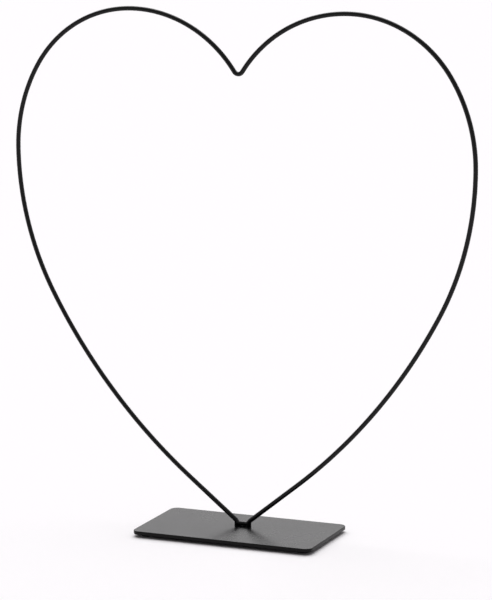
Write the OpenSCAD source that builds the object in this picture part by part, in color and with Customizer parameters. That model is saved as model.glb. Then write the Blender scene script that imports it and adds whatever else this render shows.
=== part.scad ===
// Free-standing wire heart on a flat base plate.
// The heart is one bent steel wire. Its two ends turn down into pins that plug into the plate,
// and a short rung welded between the pins holds them at their spacing and stops them at the plate.
// Origin: on the table, under the middle of the plate. X runs along the plate, +Y to the back, +Z up.

/* [Base plate] */
// Length of the plate, left to right
plate_l = 150; // [90:1:220]
// Width of the plate, front to back
plate_w = 78; // [50:1:120]
// Thickness of the plate
plate_t = 3; // [2:0.5:6]
// Radius of the plate's four corners, seen from above
corner_r = 6; // [2:0.5:15]
// Rounding of the plate's edges
edge_r = 0.5; // [0.2:0.1:0.9]

/* [Foot pads] */
// Diameter of a pad
pad_d = 10; // [6:1:16]
// Thickness of a pad
pad_t = 2; // [1:0.5:4]
// Distance from the plate's edges to a pad's middle
pad_inset = 10; // [9:1:20]

/* [Heart wire] */
// Diameter of the wire with its coating
wire_d = 3.6; // [2:0.1:5]
// Width of the heart over the wire
heart_w = 384; // [310:0.1:480]
// Height of the lobes above the plate, over the wire
heart_h = 403.2; // [335:0.1:500]
// Height above the plate at which the heart is widest
wide_h = 289; // [230:1:340]
// Distance between the tops of the two lobes
lobe_gap = 178.6; // [150:0.1:200]
// Radius of a lobe from its top down to the notch, to the middle of the wire
crown_r = 103.4; // [95:0.1:125]
// Radius of the bend in the notch, to the middle of the wire
notch_r = 4; // [3:0.1:15]
// Slope of the straight legs above the plate, in degrees
leg_slope = 38.6; // [30:0.1:50]
// Length of the straight part of a leg, from the corner above its pin
leg_l = 51; // [20:1:80]
// How much longer the tangent of the side arc is than that of the flank arc
side_share = 0.65; // [0.4:0.05:1.5]
// How much longer the tangent of the outer crown arc is than that of the shoulder arc
crown_share = 1.5; // [0.7:0.05:2]

/* [Plug-in foot] */
// Distance between the two pins, centre to centre
pin_gap = 10.4; // [8:0.1:20]
// Height above the plate at which a leg's centreline meets its pin's
corner_h = 3.8; // [3.4:0.1:8]
// Inside radius of the bend between leg and pin
bend_in = 0.65; // [0.4:0.05:2.5]
// How far the heart stands behind the middle of the plate
heart_back = 6.5; // [-10:0.5:20]
// Clearance round a pin in its hole
pin_clear = 0.08; // [0.05:0.01:0.1]
// How far a pin's end stays above the plate's underside
pin_short = 0.3; // [0.1:0.1:1]
// Bevel on a pin's end
pin_bevel = 0.3; // [0.1:0.1:0.5]
// Clearance under the rung
rung_clear = 0.05; // [0.05:0.05:0.5]
// Fit-up gap between the rung's coped ends and the pins
cope_gap = 0.1; // [0.08:0.01:0.15]

/* [Hidden] */
coat = "#1a1a1c";
foam = "#101010";
curve_fn = 180;
wire_fn = 32;
eps = 0.5;

wire_r = wire_d / 2;
// where two stretches of the wire meet, a thin collar a hair wider than the wire makes them one
seam_r = wire_r + 0.05;
seam_l = 0.2;
plate_z = pad_t + plate_t;
pin_x = pin_gap / 2;
bend_r = wire_r + bend_in;
hole_d = wire_d + 2 * pin_clear;
rung_z = plate_z + rung_clear + wire_r;

// Points of the right half of the heart, as [x, z], with the plate's top face at z = plate_z
corner = [pin_x, plate_z + corner_h];
bend_leg = bend_r * tan((90 - leg_slope) / 2);
knee = corner + leg_l * dir(leg_slope);
side = [heart_w / 2 - wire_r, plate_z + wide_h];
top = [lobe_gap / 2, plate_z + heart_h - wire_r];
crown_c = top - [0, crown_r];
notch_c = [0, crown_c[1] + sqrt(pow(crown_r + notch_r, 2) - pow(top[0], 2))];
notch_heading = 90 + atan2(notch_c[1] - crown_c[1], notch_c[0] - crown_c[0]);

// A stretch is [start point, heading there, radius, heading at its end].
// Headings are degrees from +X towards +Z, and a stretch that turns right has a falling heading.
foot_bend = [corner - [0, bend_leg], 90, bend_r, leg_slope];
crown = [top, 180, crown_r, notch_heading];
arcs = concat([foot_bend],
              two_arcs(knee, leg_slope, side, 90, side_share),
              two_arcs(side, 90, top, 180, crown_share),
              [crown]);
notch = [end_of(crown), notch_heading, notch_r, 360 - notch_heading];

function dir(a) = [cos(a), sin(a)];
function left(a) = [-sin(a), cos(a)];
function turn(s) = sign(s[3] - s[1]);
function centre_of(s) = s[0] + turn(s) * s[2] * left(s[1]);
function end_of(s) = centre_of(s) - turn(s) * s[2] * left(s[3]);

// Two tangent arcs lead from p, heading a, to q, heading b. The tangents of the first are d long
// and those of the second share * d, so d is the root of a quadratic.
function first_tangent(p, a, q, b, share) =
    let (v = q - p,
         square_term = 2 * share * (dir(a) * dir(b) - 1),
         line_term = -2 * v * (dir(a) + share * dir(b)))
    (-line_term - sqrt(line_term * line_term - 4 * square_term * (v * v))) / (2 * square_term);
function middle_heading(p, a, q, b, share, d) =
    let (w = (q - share * d * dir(b)) - (p + d * dir(a)))
    (atan2(w[1], w[0]) + 360) % 360;
function two_arcs(p, a, q, b, share) =
    let (d = first_tangent(p, a, q, b, share),
         m = middle_heading(p, a, q, b, share, d),
         first = [p, a, d / tan((m - a) / 2), m])
    [first, [end_of(first), m, share * d / tan((b - m) / 2), b]];

// Puts a shape that is drawn on the X-Y plane into the plane of the heart, at point p
module in_heart_plane(p)
    translate([p[0], heart_back, p[1]]) rotate([90, 0, 0]) children();

module stretch(s) {
    low = min(s[1], s[3]);
    in_heart_plane(centre_of(s))
        rotate_extrude(start = low - 90 * turn(s), angle = abs(s[3] - s[1]), $fn = curve_fn)
            translate([s[2], 0]) circle(r = wire_r, $fn = wire_fn);
}

// Turns a shape that stands on +Z so that it runs along a heading from point p
module along(p, heading)
    translate([p[0], heart_back, p[1]]) rotate([0, 90 - heading, 0]) children();

module seam(p, heading)
    along(p, heading) cylinder(r = seam_r, h = seam_l, center = true, $fn = wire_fn);

// Straight leg from the foot bend to the flank arc
module leg()
    along(end_of(foot_bend), leg_slope) cylinder(r = wire_r, h = leg_l - bend_leg, $fn = wire_fn);

// Wire end below the foot bend, down through the plate, with a bevelled tip
module pin() {
    tip_z = pad_t + pin_short;
    translate([pin_x, heart_back, tip_z]) {
        cylinder(r1 = wire_r - pin_bevel, r2 = wire_r, h = pin_bevel, $fn = wire_fn);
        translate([0, 0, pin_bevel])
            cylinder(r = wire_r, h = foot_bend[0][1] - tip_z - pin_bevel, $fn = wire_fn);
    }
}

module half_heart() {
    pin();
    leg();
    for (s = arcs) {
        stretch(s);
        seam(s[0], s[1]);
        seam(end_of(s), s[3]);
    }
}

module heart_wire()
    color(coat) union() {
        half_heart();
        mirror([1, 0, 0]) half_heart();
        stretch(notch);
    }

// Short piece of the same wire between the two pins, with its ends coped to their round sides
module cross_rung()
    color(coat) difference() {
        translate([0, heart_back, rung_z]) rotate([0, 90, 0])
            cylinder(r = wire_r, h = pin_gap, center = true, $fn = wire_fn);
        for (x = [-pin_x, pin_x])
            translate([x, heart_back, rung_z])
                cylinder(r = wire_r + cope_gap, h = 2 * wire_d, center = true, $fn = wire_fn);
    }

// Section of the plate, l long, with rounded edges
module edge_section(l) {
    square([l, plate_t - 2 * edge_r], center = true);
    square([l - 2 * edge_r, plate_t], center = true);
    for (x = [-1, 1], y = [-1, 1])
        translate([x * (l / 2 - edge_r), y * (plate_t / 2 - edge_r)]) circle(r = edge_r, $fn = wire_fn);
}

module plate_blank() {
    rotate([90, 0, 90]) linear_extrude(plate_l - 2 * corner_r, center = true) edge_section(plate_w);
    rotate([90, 0, 0]) linear_extrude(plate_w - 2 * corner_r, center = true) edge_section(plate_l);
    for (x = [-1, 1], y = [-1, 1])
        translate([x * (plate_l / 2 - corner_r), y * (plate_w / 2 - corner_r), 0])
            rotate_extrude($fn = curve_fn) intersection() {
                edge_section(2 * corner_r);
                translate([0, -plate_t]) square([2 * corner_r, 2 * plate_t]);
            }
}

module base_plate()
    color(coat) difference() {
        translate([0, 0, pad_t + plate_t / 2]) plate_blank();
        for (x = [-pin_x, pin_x])
            translate([x, heart_back, pad_t - eps]) cylinder(d = hole_d, h = plate_t + 2 * eps, $fn = wire_fn);
    }

// Round self-adhesive pad under one corner: side is -1 left or 1 right, depth is -1 front or 1 rear
function pad_name(side, depth) =
    str("pad_", depth < 0 ? "front" : "rear", "_", side < 0 ? "left" : "right");
module pad(side, depth)
    color(foam)
        translate([side * (plate_l / 2 - pad_inset), depth * (plate_w / 2 - pad_inset), 0])
            cylinder(d = pad_d, h = pad_t, $fn = wire_fn);

base_plate();
heart_wire();
cross_rung();
for (side = [-1, 1], depth = [-1, 1])
    pad(side, depth);
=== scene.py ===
"""Studio scene of an open heart bent from black wire, standing on a flat base plate.

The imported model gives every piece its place. Here each piece gets its finished surface: the wire
is swept along the heart's own line, the plate gets its rounded edges and drilled holes, the rung
its welds, and the pads their soft rims. All sizes are in metres, in the frame of the model.
"""

import cmath
import logging
import math
from abc import ABC, abstractmethod
from dataclasses import dataclass, field
from enum import Enum

import bmesh
import bpy
from mathutils import Matrix, Vector


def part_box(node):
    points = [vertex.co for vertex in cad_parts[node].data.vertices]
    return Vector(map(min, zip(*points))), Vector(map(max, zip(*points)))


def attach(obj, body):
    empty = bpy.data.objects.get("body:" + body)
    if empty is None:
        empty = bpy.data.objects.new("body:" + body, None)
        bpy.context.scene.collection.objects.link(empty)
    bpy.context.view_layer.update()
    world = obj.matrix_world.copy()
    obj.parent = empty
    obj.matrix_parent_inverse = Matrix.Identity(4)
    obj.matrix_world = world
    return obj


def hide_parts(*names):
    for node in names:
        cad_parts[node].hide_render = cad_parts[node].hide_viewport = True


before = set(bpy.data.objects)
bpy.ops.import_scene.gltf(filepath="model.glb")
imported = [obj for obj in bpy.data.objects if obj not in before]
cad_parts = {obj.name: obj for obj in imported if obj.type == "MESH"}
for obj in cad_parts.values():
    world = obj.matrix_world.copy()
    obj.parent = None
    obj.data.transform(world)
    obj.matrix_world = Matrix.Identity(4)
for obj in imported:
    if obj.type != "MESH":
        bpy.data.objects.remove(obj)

MM = 0.001
WIRE_D = 3.6 * MM
PIN_GAP = 10.4 * MM
PIN_CLEAR = 0.08 * MM
CORNER_R = 6.0 * MM
SHARP_ANGLE = math.radians(50)
# Nearly all the values of a noise lie between these two.
NOISE_LOW, NOISE_HIGH = 0.3, 0.7
LOG = logging.getLogger("heart_frame")


class Body(Enum):
    """The two groups of pieces that move as one."""

    BASE = "base"
    HEART = "heart"


class Slot(Enum):
    """The record's material slots."""

    PLATE = "plate"
    WIRE = "wire"
    PADS = "pads"


# Colours and nodes


def linear(hex_colour: str) -> tuple[float, float, float, float]:
    """Turns an sRGB hex colour into linear light.

    Args:
        hex_colour: a colour such as "#1a1a1c".

    Returns:
        Red, green, blue and an alpha of 1.
    """
    parts = [int(hex_colour[k : k + 2], 16) / 255 for k in (1, 3, 5)]
    red, green, blue = (p / 12.92 if p <= 0.04045 else ((p + 0.055) / 1.055) ** 2.4 for p in parts)
    return red, green, blue, 1.0


def add_node(tree: bpy.types.NodeTree, kind: str, inputs: dict | None = None, **settings) -> bpy.types.Node:
    """Adds a node with its settings, values and links.

    Args:
        tree: the node tree that it goes into.
        kind: Blender's name for the kind of node.
        inputs: for each input's name or number, a value or the socket that feeds it.
        **settings: the node's own settings, such as its mode.

    Returns:
        The new node.
    """
    node = tree.nodes.new(kind)
    for name, value in settings.items():
        setattr(node, name, value)
    for key, value in (inputs or {}).items():
        if isinstance(value, bpy.types.NodeSocket):
            tree.links.new(value, node.inputs[key])
        else:
            node.inputs[key].default_value = value
    return node


def per_metre(size_mm: float) -> float:
    """The scale of a noise whose grains are about this many millimetres wide."""
    return 1 / (size_mm * MM)


def new_material(name: str) -> tuple[bpy.types.Material, bpy.types.NodeTree, bpy.types.Node]:
    """Makes an empty material.

    Args:
        name: the real material's name.

    Returns:
        The material, its node tree and its output node.
    """
    material = bpy.data.materials.new(name)
    material.use_nodes = True
    tree = material.node_tree
    tree.nodes.clear()
    return material, tree, add_node(tree, "ShaderNodeOutputMaterial")


# Finishes


@dataclass(frozen=True)
class PowderCoat:
    """Black polyester powder, sprayed and baked on steel.

    It gives the eye a nearly black skin that mirrors softly at a low angle, with cloudy gloss, the
    shallow dimples that the melted powder leaves, and slightly shinier edges. Polyester's own IOR
    is about 1.5: it is set lower here, until the coat mirrors as dimly as the real one does.
    """

    name: str
    dark: str = "#060607"
    light: str = "#0a0a0b"
    roughness: float = 0.26
    roughness_drift: float = 0.04
    ior: float = 1.30
    peel_mm: float = 3.0
    peel_depth_mm: float = 0.055
    peel_detail: float = 1.0
    peel_fineness: float = 0.4
    grain_mm: float = 0.5
    grain_depth_mm: float = 0.002
    grain_detail: float = 2.0
    drift_mm: float = 40.0
    drift_detail: float = 5.0
    drift_fineness: float = 0.7
    sheet_node: str | None = None
    rim_mm: float = 2.5
    rim_polish: float = 0.02

    def rim(self, tree: bpy.types.NodeTree, place: bpy.types.NodeSocket) -> bpy.types.NodeSocket:
        """Finds the rim of a flat sheet with round corners, where the melted powder draws back.

        Args:
            tree: the node tree that it goes into.
            place: the socket with the Object coordinates.

        Returns:
            The socket whose value rises from 0 a little way in to 1 at the sheet's edge.
        """
        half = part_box(self.sheet_node)[1]
        straight = (half.x - CORNER_R, half.y - CORNER_R, 1.0)
        size = add_node(tree, "ShaderNodeVectorMath", {0: place}, operation="ABSOLUTE")
        past = add_node(
            tree, "ShaderNodeVectorMath", {0: size.outputs["Vector"], 1: straight}, operation="SUBTRACT"
        )
        outer = add_node(
            tree,
            "ShaderNodeVectorMath",
            {0: past.outputs["Vector"], 1: (0.0, 0.0, 0.0)},
            operation="MAXIMUM",
        )
        reach = add_node(tree, "ShaderNodeVectorMath", {0: outer.outputs["Vector"]}, operation="LENGTH")
        band = add_node(
            tree,
            "ShaderNodeMapRange",
            {
                "Value": reach.outputs["Value"],
                "From Min": CORNER_R - self.rim_mm * MM,
                "From Max": CORNER_R,
            },
            interpolation_type="SMOOTHSTEP",
        )
        return band.outputs["Result"]

    def material(self) -> bpy.types.Material:
        """Builds the coat's material.

        Returns:
            The material, patterned in Object coordinates.
        """
        material, tree, output = new_material(self.name)
        place = add_node(tree, "ShaderNodeTexCoord").outputs["Object"]
        drift = add_node(
            tree,
            "ShaderNodeTexNoise",
            {
                "Vector": place,
                "Scale": per_metre(self.drift_mm),
                "Detail": self.drift_detail,
                "Roughness": self.drift_fineness,
            },
        )
        tone = add_node(
            tree,
            "ShaderNodeMix",
            {"Factor": drift.outputs["Fac"], 6: linear(self.dark), 7: linear(self.light)},
            data_type="RGBA",
        )
        sheen = add_node(
            tree,
            "ShaderNodeMapRange",
            {
                "Value": drift.outputs["Fac"],
                "From Min": NOISE_LOW,
                "From Max": NOISE_HIGH,
                "To Min": self.roughness - self.roughness_drift,
                "To Max": self.roughness + self.roughness_drift,
            },
        )
        gloss = sheen.outputs["Result"]
        if self.sheet_node:
            # The coat lies thinner and smoother along the edges, so they shine a little more.
            thin = add_node(
                tree,
                "ShaderNodeMath",
                {0: self.rim(tree, place), 1: -self.rim_polish, 2: gloss},
                operation="MULTIPLY_ADD",
            )
            gloss = thin.outputs[0]
        # The real dimples are 1 to 2 mm wide. They are drawn wider and deeper, to show from a step away.
        peel = add_node(
            tree,
            "ShaderNodeTexNoise",
            {
                "Vector": place,
                "Scale": per_metre(self.peel_mm),
                "Detail": self.peel_detail,
                "Roughness": self.peel_fineness,
            },
        )
        dimples = add_node(
            tree, "ShaderNodeBump", {"Distance": self.peel_depth_mm * MM, "Height": peel.outputs["Fac"]}
        )
        grain = add_node(
            tree,
            "ShaderNodeTexNoise",
            {"Vector": place, "Scale": per_metre(self.grain_mm), "Detail": self.grain_detail},
        )
        skin = add_node(
            tree,
            "ShaderNodeBump",
            {
                "Distance": self.grain_depth_mm * MM,
                "Height": grain.outputs["Fac"],
                "Normal": dimples.outputs["Normal"],
            },
        )
        coat = add_node(
            tree,
            "ShaderNodeBsdfPrincipled",
            {
                "Base Color": tone.outputs[2],
                "Roughness": gloss,
                "IOR": self.ior,
                "Normal": skin.outputs["Normal"],
            },
        )
        tree.links.new(coat.outputs["BSDF"], output.inputs["Surface"])
        return material


@dataclass(frozen=True)
class FoamRubber:
    """Closed-cell EVA foam, cut from sheet.

    It gives the eye a dull, slightly lighter black with fine open pores and no mirror.
    """

    name: str
    dark: str = "#0b0b0b"
    light: str = "#232322"
    roughness: float = 0.9
    ior: float = 1.45
    pore_mm: float = 0.35
    pore_depth_mm: float = 0.05

    def material(self) -> bpy.types.Material:
        """Builds the foam's material.

        Returns:
            The material, patterned in Object coordinates.
        """
        material, tree, output = new_material(self.name)
        place = add_node(tree, "ShaderNodeTexCoord").outputs["Object"]
        pores = add_node(
            tree, "ShaderNodeTexVoronoi", {"Vector": place, "Scale": per_metre(self.pore_mm)}
        )
        tone = add_node(
            tree,
            "ShaderNodeMix",
            {"Factor": pores.outputs["Distance"], 6: linear(self.dark), 7: linear(self.light)},
            data_type="RGBA",
        )
        skin = add_node(
            tree,
            "ShaderNodeBump",
            {"Distance": self.pore_depth_mm * MM, "Height": pores.outputs["Distance"]},
        )
        foam = add_node(
            tree,
            "ShaderNodeBsdfPrincipled",
            {
                "Base Color": tone.outputs[2],
                "Roughness": self.roughness,
                "IOR": self.ior,
                "Normal": skin.outputs["Normal"],
            },
        )
        tree.links.new(foam.outputs["BSDF"], output.inputs["Surface"])
        return material


# Meshes and Geometry Nodes


def new_object(name: str, mesh: bpy.types.Mesh) -> bpy.types.Object:
    """Puts a mesh into the scene as an object at the origin.

    Args:
        name: the piece's name.
        mesh: its mesh, already in place.

    Returns:
        The new object.
    """
    thing = bpy.data.objects.new(name, mesh)
    bpy.context.scene.collection.objects.link(thing)
    return thing


def point_mesh(
    name: str, points: list[Vector], chained: bool, girths: list[float] | None = None
) -> bpy.types.Mesh:
    """Makes a mesh of bare points, or of a chain of edges for a sweep to follow.

    Args:
        name: the mesh's name.
        points: where the points are.
        chained: whether each point is joined to the next.
        girths: for each point, the share of the full thickness that a sweep has there.

    Returns:
        The mesh, with the girths in its attribute "girth".
    """
    mesh = bpy.data.meshes.new(name)
    edges = [(k, k + 1) for k in range(len(points) - 1)] if chained else []
    mesh.from_pydata(points, edges, [])
    if girths:
        mesh.attributes.new("girth", "FLOAT", "POINT").data.foreach_set("value", girths)
    return mesh


def new_tree(name: str, sizes: dict[str, str]) -> tuple[bpy.types.NodeTree, bpy.types.Node]:
    """Makes an empty Geometry Nodes tree.

    Args:
        name: the tree's name.
        sizes: for each named input, Blender's name for its kind of socket.

    Returns:
        The tree and its group input node.
    """
    tree = bpy.data.node_groups.new(name, "GeometryNodeTree")
    tree.interface.new_socket("Geometry", in_out="INPUT", socket_type="NodeSocketGeometry")
    for title, kind in sizes.items():
        tree.interface.new_socket(title, in_out="INPUT", socket_type=kind)
    tree.interface.new_socket("Geometry", in_out="OUTPUT", socket_type="NodeSocketGeometry")
    return tree, add_node(tree, "NodeGroupInput")


def finish_tree(tree: bpy.types.NodeTree, shape: bpy.types.NodeSocket, coat: bpy.types.NodeSocket) -> None:
    """Ends a tree with smooth shading, realised instances and the material.

    Args:
        tree: the tree.
        shape: the socket with the finished geometry.
        coat: the group input's material socket.
    """
    smooth = add_node(tree, "GeometryNodeSetShadeSmooth", {"Geometry": shape})
    real = add_node(tree, "GeometryNodeRealizeInstances", {"Geometry": smooth.outputs["Geometry"]})
    painted = add_node(
        tree, "GeometryNodeSetMaterial", {"Geometry": real.outputs["Geometry"], "Material": coat}
    )
    add_node(tree, "NodeGroupOutput", {"Geometry": painted.outputs["Geometry"]})


def swept_rod_tree() -> bpy.types.NodeTree:
    """Builds the tree that sweeps a round rod along a chain of edges.

    Returns:
        The tree, with the rod's radius, its number of sides and its coat as inputs.
    """
    tree, given = new_tree(
        "Swept rod", {"Radius": "NodeSocketFloat", "Sides": "NodeSocketInt", "Coat": "NodeSocketMaterial"}
    )
    line = add_node(tree, "GeometryNodeMeshToCurve", {"Mesh": given.outputs["Geometry"]})
    girth = add_node(tree, "GeometryNodeInputNamedAttribute", {"Name": "girth"}, data_type="FLOAT")
    section = add_node(
        tree,
        "GeometryNodeCurvePrimitiveCircle",
        {"Resolution": given.outputs["Sides"], "Radius": given.outputs["Radius"]},
    )
    rod = add_node(
        tree,
        "GeometryNodeCurveToMesh",
        {
            "Curve": line.outputs["Curve"],
            "Profile Curve": section.outputs["Curve"],
            "Scale": girth.outputs["Attribute"],
            "Fill Caps": True,
        },
    )
    finish_tree(tree, rod.outputs["Mesh"], given.outputs["Coat"])
    return tree


def pad_row_tree(sides: int, layers: int, rings: int, straightness: float) -> bpy.types.NodeTree:
    """Builds the tree that sets a round pad with softened rims on each point.

    Args:
        sides: the number of a pad's sides.
        layers: the number of steps from its lower face to its upper face.
        rings: the number of rings in each face.
        straightness: a power. The higher it is, the nearer to the rims the side is drawn in.

    Returns:
        The tree, with the pad's radius, thickness, rim softening and coat as inputs.
    """
    tree, given = new_tree(
        "Round pads",
        {
            "Radius": "NodeSocketFloat",
            "Thickness": "NodeSocketFloat",
            "Rim": "NodeSocketFloat",
            "Coat": "NodeSocketMaterial",
        },
    )
    disc = add_node(
        tree,
        "GeometryNodeMeshCylinder",
        {
            "Vertices": sides,
            "Side Segments": layers,
            "Fill Segments": rings,
            "Radius": given.outputs["Radius"],
            "Depth": given.outputs["Thickness"],
        },
        fill_type="NGON",
    )
    place = add_node(tree, "GeometryNodeInputPosition")
    axes = add_node(tree, "ShaderNodeSeparateXYZ", {"Vector": place.outputs["Position"]})
    height = add_node(
        tree, "ShaderNodeMath", {0: axes.outputs["Z"], 1: given.outputs["Thickness"]}, operation="DIVIDE"
    )
    double = add_node(tree, "ShaderNodeMath", {0: height.outputs[0], 1: 2.0}, operation="MULTIPLY")
    level = add_node(tree, "ShaderNodeMath", {0: double.outputs[0]}, operation="ABSOLUTE")
    drawn = add_node(tree, "ShaderNodeMath", {0: level.outputs[0], 1: straightness}, operation="POWER")
    inset = add_node(
        tree, "ShaderNodeMath", {0: given.outputs["Rim"], 1: given.outputs["Radius"]}, operation="DIVIDE"
    )
    share = add_node(
        tree, "ShaderNodeMath", {0: drawn.outputs[0], 1: inset.outputs[0]}, operation="MULTIPLY"
    )
    kept = add_node(tree, "ShaderNodeMath", {0: 1.0, 1: share.outputs[0]}, operation="SUBTRACT")
    scale = add_node(
        tree, "ShaderNodeCombineXYZ", {"X": kept.outputs[0], "Y": kept.outputs[0], "Z": 1.0}
    )
    moved = add_node(
        tree,
        "ShaderNodeVectorMath",
        {0: place.outputs["Position"], 1: scale.outputs["Vector"]},
        operation="MULTIPLY",
    )
    pad = add_node(
        tree,
        "GeometryNodeSetPosition",
        {"Geometry": disc.outputs["Mesh"], "Position": moved.outputs["Vector"]},
    )
    row = add_node(
        tree,
        "GeometryNodeInstanceOnPoints",
        {"Points": given.outputs["Geometry"], "Instance": pad.outputs["Geometry"]},
    )
    finish_tree(tree, row.outputs["Instances"], given.outputs["Coat"])
    return tree


def grown(thing: bpy.types.Object, tree: bpy.types.NodeTree, sizes: dict) -> bpy.types.Object:
    """Runs a Geometry Nodes tree on an object and keeps the result as its plain mesh.

    Args:
        thing: the object whose mesh the tree starts from.
        tree: the tree.
        sizes: for each named input, its value.

    Returns:
        The same object, with the finished mesh and no modifier.
    """
    modifier = thing.modifiers.new("Grow", "NODES")
    modifier.node_group = tree
    for item in tree.interface.items_tree:
        if item.item_type == "SOCKET" and item.in_out == "INPUT" and item.name in sizes:
            modifier[item.identifier] = sizes[item.name]
    ready = thing.evaluated_get(bpy.context.evaluated_depsgraph_get())
    mesh = bpy.data.meshes.new_from_object(ready)
    thing.modifiers.remove(modifier)
    thing.data = mesh
    mesh.set_sharp_from_angle(angle=SHARP_ANGLE)
    return thing


# Sub-assemblies


@dataclass
class SubAssembly(ABC):
    """A group of pieces that ride on one body and share one finish."""

    finish: PowderCoat | FoamRubber
    pieces: list[bpy.types.Object] = field(default_factory=list, init=False)

    @property
    @abstractmethod
    def body(self) -> Body:
        """The body that the pieces ride on."""

    @property
    @abstractmethod
    def slot(self) -> Slot:
        """The record's material slot for the pieces."""

    @abstractmethod
    def build(self, coat: bpy.types.Material) -> None:
        """Builds the pieces' meshes.

        Args:
            coat: the pieces' material.
        """

    def keep(self, piece: bpy.types.Object, *nodes: str) -> None:
        """Fixes a piece to its body.

        Args:
            piece: the finished piece.
            *nodes: the model's nodes that it stands for.
        """
        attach(piece, self.body.value)
        self.slot.value
        if nodes:
            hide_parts(*nodes)
        self.pieces.append(piece)

    def make(self) -> None:
        """Builds and dresses every piece, and reports each one."""
        coat = self.finish.material()
        self.build(coat)
        for piece in self.pieces:
            LOG.info("%s: %d faces on %s", piece.name, len(piece.data.polygons), self.body.value)


@dataclass(frozen=True)
class Bend:
    """A stretch of wire bent to one radius. A point of the heart's plane is x + iz."""

    start: complex
    heading: float
    radius: float
    end_heading: float

    @property
    def turn(self) -> int:
        """1 where the wire turns left, -1 where it turns right."""
        return 1 if self.end_heading > self.heading else -1

    @property
    def centre(self) -> complex:
        """The middle of the bend's circle."""
        return self.start + 1j * self.turn * self.radius * cmath.exp(1j * self.heading)

    def at(self, heading: float) -> complex:
        """The point where the wire has this heading."""
        return self.centre - 1j * self.turn * self.radius * cmath.exp(1j * heading)

    @property
    def end(self) -> complex:
        """The bend's last point."""
        return self.at(self.end_heading)

    def points(self, chord: float, largest_step: float) -> list[complex]:
        """Points along the bend, without its first.

        Args:
            chord: the longest distance between two points.
            largest_step: the most that the heading may turn between two points.

        Returns:
            The points, the bend's end among them.
        """
        sweep = self.end_heading - self.heading
        count = math.ceil(max(abs(sweep) * self.radius / chord, abs(sweep) / largest_step))
        return [self.at(self.heading + sweep * (k + 1) / count) for k in range(count)]


def two_bends(start: complex, heading: float, end: complex, end_heading: float, share: float) -> list[Bend]:
    """Joins two points by two tangent bends.

    The tangents of the first bend are d long and those of the second are share * d, which makes
    d the root of a quadratic.

    Args:
        start: the first point.
        heading: the wire's heading there.
        end: the last point.
        end_heading: the wire's heading there.
        share: how much longer the second bend's tangents are.

    Returns:
        The two bends.
    """
    first_way, last_way = cmath.exp(1j * heading), cmath.exp(1j * end_heading)
    across = end - start
    square_term = 2 * share * (math.cos(end_heading - heading) - 1)
    line_term = -2 * (across * (first_way + share * last_way).conjugate()).real
    root = math.sqrt(line_term**2 - 4 * square_term * abs(across) ** 2)
    reach = (-line_term - root) / (2 * square_term)
    middle = cmath.phase(across - reach * (first_way + share * last_way)) % (2 * math.pi)
    first = Bend(start, heading, reach / math.tan((middle - heading) / 2), middle)
    last = Bend(first.end, middle, share * reach / math.tan((end_heading - middle) / 2), end_heading)
    return [first, last]


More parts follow.
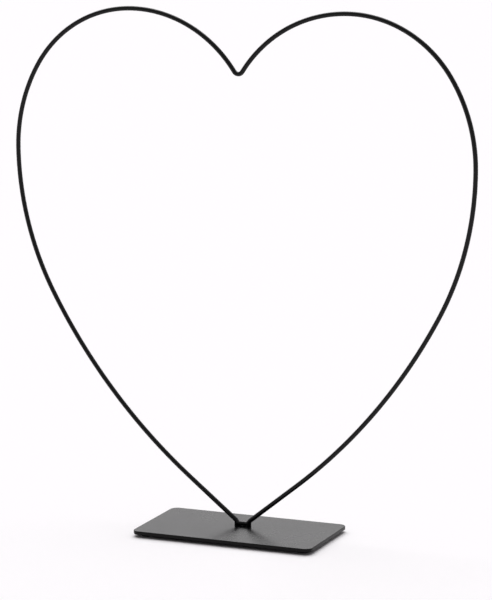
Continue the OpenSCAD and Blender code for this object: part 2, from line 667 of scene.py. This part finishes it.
@dataclass
class HeartWire(SubAssembly):
    """The heart: one length of round wire whose two ends turn down into pins."""

    wire_d: float = WIRE_D
    width: float = 384.0 * MM
    height: float = 403.2 * MM
    widest: float = 289.0 * MM
    lobe_gap: float = 178.6 * MM
    crown_r: float = 103.4 * MM
    notch_r: float = 4.0 * MM
    leg_slope: float = math.radians(38.6)
    leg_l: float = 51.0 * MM
    side_share: float = 0.65
    crown_share: float = 1.5
    pin_gap: float = PIN_GAP
    corner_h: float = 3.8 * MM
    bend_in: float = 0.65 * MM
    pin_bevel: float = 0.3 * MM
    chord: float = 2.5 * MM
    largest_step: float = math.radians(6)
    sides: int = 40

    body = Body.HEART
    slot = Slot.WIRE

    def right_half(self, plate_top: float) -> tuple[list[complex], Bend]:
        """The wire's centreline from the foot bend to the notch, on the right.

        Args:
            plate_top: the height of the plate's top face.

        Returns:
            The centreline's points and the bend in the notch.
        """
        radius = self.wire_d / 2
        bend_r = radius + self.bend_in
        corner = complex(self.pin_gap / 2, plate_top + self.corner_h)
        tangent = bend_r * math.tan((math.pi / 2 - self.leg_slope) / 2)
        knee = corner + cmath.rect(self.leg_l, self.leg_slope)
        side = complex(self.width / 2 - radius, plate_top + self.widest)
        top = complex(self.lobe_gap / 2, plate_top + self.height - radius)
        rise = math.sqrt((self.crown_r + self.notch_r) ** 2 - top.real**2)
        notch_heading = math.pi / 2 + cmath.phase(complex(-top.real, rise))
        foot = Bend(corner - 1j * tangent, math.pi / 2, bend_r, self.leg_slope)
        bends = [
            *two_bends(knee, self.leg_slope, side, math.pi / 2, self.side_share),
            *two_bends(side, math.pi / 2, top, math.pi, self.crown_share),
            Bend(top, math.pi, self.crown_r, notch_heading),
        ]
        points = [foot.start, *foot.points(self.chord, self.largest_step)]
        legs = math.ceil(abs(knee - foot.end) / self.chord)
        points += [foot.end + (knee - foot.end) * (k + 1) / legs for k in range(legs)]
        for bend in bends:
            points += bend.points(self.chord, self.largest_step)
        return points, Bend(points[-1], notch_heading, self.notch_r, 2 * math.pi - notch_heading)

    def centreline(self) -> tuple[list[Vector], list[float]]:
        """The whole wire's centreline, from pin tip to pin tip.

        Returns:
            Its points, and for each the share of the full radius that the wire has there.
        """
        plate_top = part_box("base_plate")[1].z
        low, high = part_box("heart_wire")
        right, notch = self.right_half(plate_top)
        tip = complex(self.pin_gap / 2, low.z)
        right = [tip, tip + 1j * self.pin_bevel, *right]
        left = [complex(-p.real, p.imag) for p in reversed(right)]
        line = right + notch.points(self.chord, self.largest_step)[:-1] + left
        points = [Vector((p.real, (low.y + high.y) / 2, p.imag)) for p in line]
        girths = [1.0] * len(points)
        girths[0] = girths[-1] = 1 - self.pin_bevel / (self.wire_d / 2)
        return points, girths

    def build(self, coat: bpy.types.Material) -> None:
        """Sweeps the wire along its centreline.

        Args:
            coat: the wire's material.
        """
        points, girths = self.centreline()
        wire = new_object("bent_heart_wire", point_mesh("heart_line", points, True, girths))
        grown(wire, swept_rod_tree(), {"Radius": self.wire_d / 2, "Sides": self.sides, "Coat": coat})
        self.keep(wire, "heart_wire")


@dataclass
class WeldedRung(SubAssembly):
    """The short rung between the pins, and the two weld beads that hold it."""

    pin_gap: float = PIN_GAP
    sides: int = 48
    bead_r: float = 0.42 * MM
    bead_reach: float = math.radians(72)
    bead_points: int = 25
    bead_sides: int = 16
    bead_end: float = 0.06
    ripples: int = 6
    ripple_share: float = 0.10

    body = Body.HEART
    slot = Slot.WIRE

    def ring(self, side: int) -> list[Vector]:
        """The rung's rim where it meets a pin, a saddle curve.

        Args:
            side: -1 for the left pin, 1 for the right one.

        Returns:
            The rim's points, from the top round to the back.
        """
        return [self.on_rim(side, 2 * math.pi * k / self.sides) for k in range(self.sides)]

    def on_rim(self, side: int, angle: float) -> Vector:
        """A point of the rim at this angle from the rung's top."""
        low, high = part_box("cross_rung")
        middle, radius = (low + high) / 2, (high.z - low.z) / 2
        across = radius * math.sin(angle)
        reach = self.pin_gap / 2 - math.sqrt(max(radius**2 - across**2, 0.0))
        return Vector((side * reach, middle.y + across, middle.z + radius * math.cos(angle)))

    def rung_mesh(self) -> bpy.types.Mesh:
        """Builds the rung with both ends shaped to the pins.

        Returns:
            A closed mesh.
        """
        count, half = self.sides, self.sides // 2
        left, right = self.ring(-1), self.ring(1)
        walls = [(k, (k + 1) % count, count + (k + 1) % count, count + k) for k in range(count)]
        # Each end is a row of upright strips, which lie on the pin's round side.
        strips = [(k, k + 1, (half - k - 1) % count, (half - k) % count) for k in range(half // 2)]
        strips += [
            (half + k, half + k + 1, (count - k - 1) % count, (count - k) % count) for k in range(half // 2)
        ]
        faces = list(walls)
        for strip in strips:
            for offset in (0, count):
                corners = list(dict.fromkeys(offset + c for c in strip))
                if len(corners) > 2:
                    faces.append(tuple(corners))
        mesh = bpy.data.meshes.new("rung")
        mesh.from_pydata(left + right, [], faces)
        shape = bmesh.new()
        shape.from_mesh(mesh)
        bmesh.ops.recalc_face_normals(shape, faces=shape.faces)
        for face in shape.faces:
            face.smooth = True
        shape.to_mesh(mesh)
        shape.free()
        mesh.set_sharp_from_angle(angle=SHARP_ANGLE)
        return mesh

    def bead_line(self, side: int) -> tuple[list[Vector], list[float]]:
        """The line of a weld bead, over the rung's top from front to back.

        Args:
            side: -1 for the left pin, 1 for the right one.

        Returns:
            The bead's points and its girth at each, which swells and falls with the ripples.
        """
        shares = [k / (self.bead_points - 1) for k in range(self.bead_points)]
        points = [self.on_rim(side, self.bead_reach * (2 * t - 1)) for t in shares]
        girths = []
        for t in shares:
            taper = math.sqrt(math.sin(math.pi * (self.bead_end + (1 - 2 * self.bead_end) * t)))
            girths.append(taper * (1 + self.ripple_share * math.sin(2 * math.pi * self.ripples * t)))
        return points, girths

    def build(self, coat: bpy.types.Material) -> None:
        """Builds the rung and its two beads.

        Args:
            coat: their material.
        """
        rung = new_object("welded_cross_rung", self.rung_mesh())
        rung.data.materials.append(coat)
        self.keep(rung, "cross_rung")
        tree = swept_rod_tree()
        for side, name in ((-1, "weld_bead_left"), (1, "weld_bead_right")):
            points, girths = self.bead_line(side)
            bead = new_object(name, point_mesh(name, points, True, girths))
            grown(bead, tree, {"Radius": self.bead_r, "Sides": self.bead_sides, "Coat": coat})
            self.keep(bead)


@dataclass
class BasePlate(SubAssembly):
    """The flat steel plate with rounded corners, soft edges and two drilled holes."""

    corner_r: float = CORNER_R
    edge_r: float = 0.5 * MM
    hole_r: float = WIRE_D / 2 + PIN_CLEAR
    hole_rim: float = 0.25 * MM
    pin_gap: float = PIN_GAP
    corner_steps: int = 16
    edge_steps: int = 6
    hole_sides: int = 48

    body = Body.BASE
    slot = Slot.PLATE

    def edge_profile(self, radius: float) -> list[tuple[float, float]]:
        """The rounding of the plate's two edges, from the bottom face to the top.

        Args:
            radius: the rounding's radius.

        Returns:
            For each step, how far the edge is drawn in, and its height.
        """
        low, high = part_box("base_plate")
        turns = [math.pi / 2 * k / self.edge_steps for k in range(self.edge_steps + 1)]
        bottom = [(radius * (1 - math.sin(t)), low.z + radius * (1 - math.cos(t))) for t in turns]
        top = [(inset, low.z + high.z - level) for inset, level in reversed(bottom)]
        return bottom + top

    def outline(self, inset: float, level: float) -> list[Vector]:
        """The plate's outline, drawn in by a given amount.

        Args:
            inset: how far it is drawn in.
            level: its height.

        Returns:
            The outline's points, anticlockwise from above.
        """
        low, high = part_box("base_plate")
        points = []
        for quarter, (x, y) in enumerate(((1, 1), (-1, 1), (-1, -1), (1, -1))):
            centre = Vector((x * (high.x - self.corner_r), y * (high.y - self.corner_r), level))
            for k in range(self.corner_steps + 1):
                angle = math.pi / 2 * (quarter + k / self.corner_steps)
                arm = Vector((math.cos(angle), math.sin(angle), 0))
                points.append(centre + arm * (self.corner_r - inset))
        return points

    def hole(self, side: int, inset: float, level: float) -> list[Vector]:
        """The wall of a pin hole, widened by a given amount.

        Args:
            side: -1 for the left hole, 1 for the right one.
            inset: how much wider than the drilled radius it is.
            level: its height.

        Returns:
            The circle's points.
        """
        low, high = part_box("heart_wire")
        centre = Vector((side * self.pin_gap / 2, (low.y + high.y) / 2, level))
        turns = [2 * math.pi * k / self.hole_sides for k in range(self.hole_sides)]
        return [centre + Vector((math.cos(t), math.sin(t), 0)) * (self.hole_r + inset) for t in turns]

    def build(self, coat: bpy.types.Material) -> None:
        """Builds the plate from its edge rings and fills its two faces between them.

        Args:
            coat: the plate's material.
        """
        shape = bmesh.new()
        rims: list[list[bmesh.types.BMEdge]] = [[], []]
        walls = [[self.outline(*step) for step in self.edge_profile(self.edge_r)]]
        for side in (-1, 1):
            walls.append([self.hole(side, *step) for step in self.edge_profile(self.hole_rim)])
        for rings in walls:
            rows = [[shape.verts.new(p) for p in ring] for ring in rings]
            count = len(rows[0])
            for lower, upper in zip(rows, rows[1:]):
                for k in range(count):
                    step = (k + 1) % count
                    face = shape.faces.new((lower[k], lower[step], upper[step], upper[k]))
                    face.smooth = True
            for rim, row in zip(rims, (rows[0], rows[-1])):
                rim += [shape.edges.get((row[k], row[(k + 1) % count])) for k in range(count)]
        for rim, way in zip(rims, (-1.0, 1.0)):
            bmesh.ops.triangle_fill(
                shape, use_beauty=True, use_dissolve=False, edges=rim, normal=(0.0, 0.0, way)
            )
        bmesh.ops.recalc_face_normals(shape, faces=shape.faces)
        mesh = bpy.data.meshes.new("plate")
        shape.to_mesh(mesh)
        shape.free()
        mesh.materials.append(coat)
        self.keep(new_object("powder_coated_plate", mesh), "base_plate")


@dataclass
class FootPads(SubAssembly):
    """The four round pads under the plate's corners."""

    rim: float = 0.22 * MM
    sides: int = 56
    layers: int = 12
    rings: int = 3
    straightness: float = 6.0
    nodes: tuple[str, ...] = ("pad_front_left", "pad_front_right", "pad_rear_left", "pad_rear_right")

    body = Body.BASE
    slot = Slot.PADS

    def build(self, coat: bpy.types.Material) -> None:
        """Sets one pad in the place of each of the model's pads.

        Args:
            coat: the pads' material.
        """
        boxes = [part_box(node) for node in self.nodes]
        low, high = boxes[0]
        centres = [(a + b) / 2 for a, b in boxes]
        pads = new_object("foot_pads", point_mesh("pad_places", centres, False))
        sizes = {"Radius": (high.x - low.x) / 2, "Thickness": high.z - low.z, "Rim": self.rim, "Coat": coat}
        grown(pads, pad_row_tree(self.sides, self.layers, self.rings, self.straightness), sizes)
        self.keep(pads, *self.nodes)


# Studio


@dataclass
class Studio:
    """A white sweep, soft light from all round and a camera at the photograph's place."""

    photo_px: tuple[int, int] = (492, 600)
    focal_px: float = 2827.3
    azimuth: float = math.radians(23.623)
    elevation: float = math.radians(10.478)
    distance: float = 2167.65 * MM
    roll: float = math.radians(-0.567)
    aim_x: float = 7.4 * MM
    aim_above_plate: float = 180.93 * MM
    sensor: float = 36.0
    clip_end: float = 100.0
    floor_r: float = 12.0
    floor_sides: int = 96
    floor_colour: str = "#c8c8ca"
    backdrop_colour: str = "#fffdff"
    sky_level: float = 0.415
    front_level: float = 0.35
    sweep_from: float = -0.85
    sweep_to: float = 0.05
    lamp_level: float = 2.6
    lamp_spread: float = math.radians(65)
    lamp_height: float = math.radians(53)
    lamp_azimuth: float = math.radians(205)

    def camera(self) -> None:
        """Sets up the scene's camera."""
        data = bpy.data.cameras.new("photo_camera")
        data.sensor_width = self.sensor
        data.lens = self.focal_px / max(self.photo_px) * self.sensor
        data.clip_end = self.clip_end
        back = Vector(
            (
                math.sin(self.azimuth) * math.cos(self.elevation),
                -math.cos(self.azimuth) * math.cos(self.elevation),
                math.sin(self.elevation),
            )
        )
        right = Vector((math.cos(self.azimuth), math.sin(self.azimuth), 0.0))
        up = back.cross(right)
        cosine, sine = math.cos(self.roll), math.sin(self.roll)
        right, up = cosine * right + sine * up, cosine * up - sine * right
        aim = Vector((self.aim_x, 0.0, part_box("base_plate")[1].z + self.aim_above_plate))
        thing = bpy.data.objects.new("photo_camera", data)
        thing.matrix_world = Matrix.Translation(aim + back * self.distance) @ Matrix(
            (right, up, back)
        ).transposed().to_4x4()
        bpy.context.scene.collection.objects.link(thing)
        bpy.context.scene.camera = thing

    def seen(self, tree: bpy.types.NodeTree) -> bpy.types.NodeSocket:
        """A value of 1 for light that the camera sees directly, in gloss or through glass.

        Args:
            tree: the node tree that it goes into.

        Returns:
            The socket that holds the value.
        """
        path = add_node(tree, "ShaderNodeLightPath")
        gloss = add_node(
            tree,
            "ShaderNodeMath",
            {0: path.outputs["Is Camera Ray"], 1: path.outputs["Is Glossy Ray"]},
            operation="MAXIMUM",
        )
        clear = add_node(
            tree,
            "ShaderNodeMath",
            {0: gloss.outputs[0], 1: path.outputs["Is Transmission Ray"]},
            operation="MAXIMUM",
        )
        return clear.outputs[0]

    def floor(self) -> None:
        """Lays the pale floor."""
        shape = bmesh.new()
        bmesh.ops.create_circle(shape, cap_ends=True, segments=self.floor_sides, radius=self.floor_r)
        mesh = bpy.data.meshes.new("floor")
        shape.to_mesh(mesh)
        shape.free()
        material, tree, output = new_material("Matt white paper sweep")
        tone = add_node(
            tree,
            "ShaderNodeMix",
            {"Factor": self.seen(tree), 6: linear(self.floor_colour), 7: linear(self.backdrop_colour)},
            data_type="RGBA",
        )
        paper = add_node(tree, "ShaderNodeBsdfDiffuse", {"Color": tone.outputs[2]})
        tree.links.new(paper.outputs["BSDF"], output.inputs["Surface"])
        mesh.materials.append(material)
        new_object("floor", mesh)

    def sky(self) -> None:
        """Surrounds the scene with a white sweep behind and above it and a dim room in front of it."""
        world = bpy.data.worlds.new("Studio")
        bpy.context.scene.world = world
        world.use_nodes = True
        tree = world.node_tree
        tree.nodes.clear()
        way = add_node(tree, "ShaderNodeTexCoord").outputs["Generated"]
        axes = add_node(tree, "ShaderNodeSeparateXYZ", {"Vector": way})
        sweep = add_node(
            tree,
            "ShaderNodeMapRange",
            {
                "Value": axes.outputs["Y"],
                "From Min": self.sweep_from,
                "From Max": self.sweep_to,
                "To Min": self.front_level,
                "To Max": 1.0,
            },
            interpolation_type="SMOOTHSTEP",
        )
        path = add_node(tree, "ShaderNodeLightPath")
        shine = add_node(
            tree,
            "ShaderNodeMapRange",
            {"Value": self.seen(tree), "To Min": self.sky_level, "To Max": 1.0},
        )
        lit = add_node(
            tree,
            "ShaderNodeMath",
            {0: sweep.outputs["Result"], 1: shine.outputs["Result"]},
            operation="MULTIPLY",
        )
        level = add_node(
            tree,
            "ShaderNodeMath",
            {0: lit.outputs[0], 1: path.outputs["Is Camera Ray"]},
            operation="MAXIMUM",
        )
        light = add_node(
            tree,
            "ShaderNodeBackground",
            {"Color": linear(self.backdrop_colour), "Strength": level.outputs[0]},
        )
        add_node(tree, "ShaderNodeOutputWorld", {"Surface": light.outputs["Background"]})

    def lamp(self) -> None:
        """Hangs one wide soft light behind the object, over its left side."""
        data = bpy.data.lights.new("soft_light", "SUN")
        data.energy = self.lamp_level
        data.angle = self.lamp_spread
        thing = bpy.data.objects.new("soft_light", data)
        flat = math.cos(self.lamp_height)
        way = Vector(
            (
                flat * math.sin(self.lamp_azimuth),
                -flat * math.cos(self.lamp_azimuth),
                math.sin(self.lamp_height),
            )
        )
        thing.rotation_euler = way.to_track_quat("Z", "Y").to_euler()
        bpy.context.scene.collection.objects.link(thing)

    def make(self) -> None:
        """Builds the camera, floor, sky and lamp."""
        bpy.context.scene.view_settings.view_transform = "Standard"
        self.camera()
        self.floor()
        self.sky()
        self.lamp()
        LOG.info("studio: camera %.3f m away", self.distance)


def main() -> None:
    """Builds the studio and every sub-assembly."""
    logging.basicConfig(level=logging.INFO, format="%(name)s %(message)s")
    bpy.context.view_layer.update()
    Studio().make()
    sub_assemblies = [
        HeartWire(PowderCoat("Powder-coated steel wire")),
        WeldedRung(PowderCoat("Powder-coated weld and rung")),
        BasePlate(
            PowderCoat("Powder-coated steel plate", ior=1.24, roughness=0.25, sheet_node="base_plate")
        ),
        FootPads(FoamRubber("EVA foam rubber, cut from sheet")),
    ]
    for group in sub_assemblies:
        group.make()
    bpy.context.view_layer.update()


if __name__ == "__main__":
    main()
